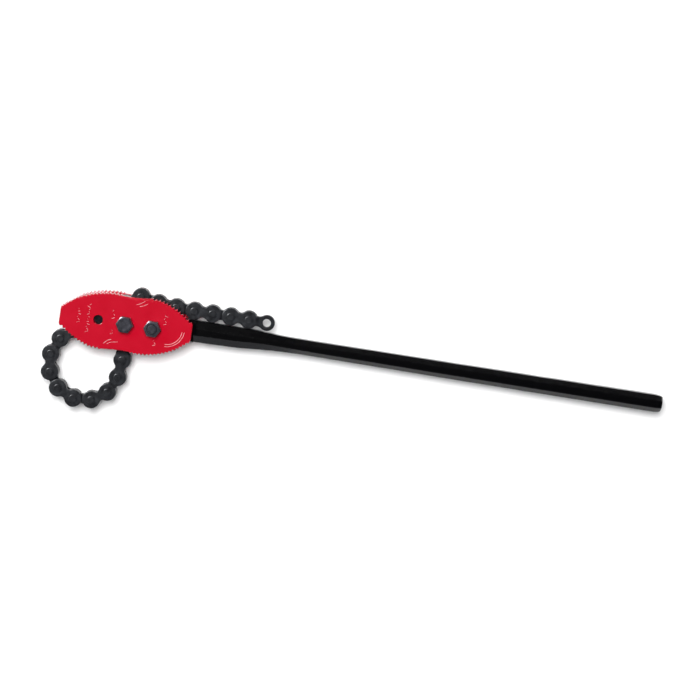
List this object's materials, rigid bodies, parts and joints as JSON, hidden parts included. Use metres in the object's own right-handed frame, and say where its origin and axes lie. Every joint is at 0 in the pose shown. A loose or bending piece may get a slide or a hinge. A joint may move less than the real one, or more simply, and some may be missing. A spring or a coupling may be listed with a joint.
{
  "type": "chain pipe wrench",
  "caption": "Long-handled chain pipe wrench with toothed double-ended jaw plates bolted to the handle and a flat-link chain that wraps the pipe.",
  "frame": {"origin": "centre of the centre bolt's end face, in the plane that the tool rests on", "axes": "+X along the handle towards its grip end, +Z along the bolts, square to the jaw plates, +Y towards the side where the chain's tail lies"},
  "size_m": [0.7008, 0.1458, 0.0526],
  "materials": {
    "red_enamel": "glossy red enamel on forged steel, bare at the tooth tips",
    "black_enamel": "glossy black enamel over a forged, slightly uneven surface",
    "blackened_steel": "oil-blackened stamped steel, dull",
    "plain_steel": "dark plain steel, machine finished"
  },
  "bodies": {
    "wrench": {"handle": "black_enamel", "jaw_plate_upper": "red_enamel", "jaw_plate_lower": "red_enamel", "centre_bolt": "plain_steel", "centre_nut": "plain_steel", "centre_lock_washer": "plain_steel", "rear_bolt": "plain_steel", "rear_nut": "plain_steel", "rear_lock_washer": "plain_steel"},
    "link_01": {"link_01_anchor": "blackened_steel"},
    "link_02": {"link_02_upper_plate": "blackened_steel", "link_02_lower_plate": "blackened_steel", "link_02_near_pin": "blackened_steel", "link_02_far_pin": "blackened_steel"},
    "link_03": {"link_03_inner": "blackened_steel"},
    "link_04": {"link_04_upper_plate": "blackened_steel", "link_04_lower_plate": "blackened_steel", "link_04_near_pin": "blackened_steel", "link_04_far_pin": "blackened_steel"},
    "link_05": {"link_05_inner": "blackened_steel"},
    "link_06": {"link_06_upper_plate": "blackened_steel", "link_06_lower_plate": "blackened_steel", "link_06_near_pin": "blackened_steel", "link_06_far_pin": "blackened_steel"},
    "link_07": {"link_07_inner": "blackened_steel"},
    "link_08": {"link_08_upper_plate": "blackened_steel", "link_08_lower_plate": "blackened_steel", "link_08_near_pin": "blackened_steel", "link_08_far_pin": "blackened_steel"},
    "link_09": {"link_09_inner": "blackened_steel"},
    "link_10": {"link_10_upper_plate": "blackened_steel", "link_10_lower_plate": "blackened_steel", "link_10_near_pin": "blackened_steel", "link_10_far_pin": "blackened_steel"},
    "link_11": {"link_11_inner": "blackened_steel"},
    "link_12": {"link_12_upper_plate": "blackened_steel", "link_12_lower_plate": "blackened_steel", "link_12_near_pin": "blackened_steel", "link_12_far_pin": "blackened_steel"},
    "link_13": {"link_13_inner": "blackened_steel"},
    "link_14": {"link_14_upper_plate": "blackened_steel", "link_14_lower_plate": "blackened_steel", "link_14_near_pin": "blackened_steel", "link_14_far_pin": "blackened_steel"},
    "link_15": {"link_15_inner": "blackened_steel"},
    "link_16": {"link_16_upper_plate": "blackened_steel", "link_16_lower_plate": "blackened_steel", "link_16_near_pin": "blackened_steel", "link_16_far_pin": "blackened_steel"},
    "link_17": {"link_17_inner": "blackened_steel"},
    "link_18": {"link_18_upper_plate": "blackened_steel", "link_18_lower_plate": "blackened_steel", "link_18_near_pin": "blackened_steel", "link_18_far_pin": "blackened_steel"},
    "link_19": {"link_19_inner": "blackened_steel"},
    "link_20": {"link_20_upper_plate": "blackened_steel", "link_20_lower_plate": "blackened_steel", "link_20_near_pin": "blackened_steel", "link_20_far_pin": "blackened_steel"},
    "link_21": {"link_21_end_eye": "blackened_steel"}
  },
  "joints": [
    {"name": "hinge_01", "type": "hinge", "parent": "wrench", "child": "link_01", "pos_m": [0, 0, 0.0243], "axis": [0, 0, 1], "range_deg": [0, 30]},
    {"name": "hinge_02", "type": "hinge", "parent": "link_01", "child": "link_02", "pos_m": [0.00074, -0.04249, 0.0243], "axis": [0, 0, 1], "range_deg": [0, 15]},
    {"name": "hinge_03", "type": "hinge", "parent": "link_02", "child": "link_03", "pos_m": [-0.00177, -0.06294, 0.0243], "axis": [0, 0, 1], "range_deg": [0, 25]},
    {"name": "hinge_04", "type": "hinge", "parent": "link_03", "child": "link_04", "pos_m": [-0.0108, -0.08146, 0.0243], "axis": [0, 0, 1], "range_deg": [0, 30]},
    {"name": "hinge_05", "type": "hinge", "parent": "link_04", "child": "link_05", "pos_m": [-0.02788, -0.09297, 0.0243], "axis": [0, 0, 1], "range_deg": [0, 30]},
    {"name": "hinge_06", "type": "hinge", "parent": "link_05", "child": "link_06", "pos_m": [-0.04843, -0.09441, 0.0243], "axis": [0, 0, 1], "range_deg": [0, 30]},
    {"name": "hinge_07", "type": "hinge", "parent": "link_06", "child": "link_07", "pos_m": [-0.06694, -0.08538, 0.0243], "axis": [0, 0, 1], "range_deg": [0, 30]},
    {"name": "hinge_08", "type": "hinge", "parent": "link_07", "child": "link_08", "pos_m": [-0.07846, -0.0683, 0.0243], "axis": [0, 0, 1], "range_deg": [0, 30]},
    {"name": "hinge_09", "type": "hinge", "parent": "link_08", "child": "link_09", "pos_m": [-0.0799, -0.04775, 0.0243], "axis": [0, 0, 1], "range_deg": [0, 28]},
    {"name": "hinge_10", "type": "hinge", "parent": "link_09", "child": "link_10", "pos_m": [-0.07152, -0.02893, 0.0243], "axis": [0, 0, 1], "range_deg": [0, 29]},
    {"name": "hinge_11", "type": "hinge", "parent": "link_10", "child": "link_11", "pos_m": [-0.05507, -0.01654, 0.0243], "axis": [0, 0, 1], "range_deg": [0, 15]},
    {"name": "hinge_12", "type": "hinge", "parent": "link_11", "child": "link_12", "pos_m": [-0.03862, -0.00414, 0.0243], "axis": [0, 0, 1], "range_deg": [0, 15]},
    {"name": "hinge_13", "type": "hinge", "parent": "link_12", "child": "link_13", "pos_m": [-0.02216, 0.00826, 0.0243], "axis": [0, 0, 1], "range_deg": [0, 15]},
    {"name": "hinge_14", "type": "hinge", "parent": "link_13", "child": "link_14", "pos_m": [-0.00571, 0.02066, 0.0243], "axis": [0, 0, 1], "range_deg": [0, 15]},
    {"name": "hinge_15", "type": "hinge", "parent": "link_14", "child": "link_15", "pos_m": [0.01176, 0.03157, 0.0243], "axis": [0, 0, 1], "range_deg": [0, 44]},
    {"name": "hinge_16", "type": "hinge", "parent": "link_15", "child": "link_16", "pos_m": [0.03191, 0.02729, 0.0243], "axis": [0, 0, 1], "range_deg": [0, 15]},
    {"name": "hinge_17", "type": "hinge", "parent": "link_16", "child": "link_17", "pos_m": [0.05246, 0.02585, 0.0243], "axis": [0, 0, 1], "range_deg": [0, 15]},
    {"name": "hinge_18", "type": "hinge", "parent": "link_17", "child": "link_18", "pos_m": [0.07304, 0.02513, 0.0243], "axis": [0, 0, 1], "range_deg": [0, 10]},
    {"name": "hinge_19", "type": "hinge", "parent": "link_18", "child": "link_19", "pos_m": [0.09364, 0.02513, 0.0243], "axis": [0, 0, 1], "range_deg": [0, 15]},
    {"name": "hinge_20", "type": "hinge", "parent": "link_19", "child": "link_20", "pos_m": [0.11424, 0.02513, 0.0243], "axis": [0, 0, 1], "range_deg": [0, 15]},
    {"name": "hinge_21", "type": "hinge", "parent": "link_20", "child": "link_21", "pos_m": [0.13484, 0.02477, 0.0243], "axis": [0, 0, 1], "range_deg": [0, 15]}
  ]
}
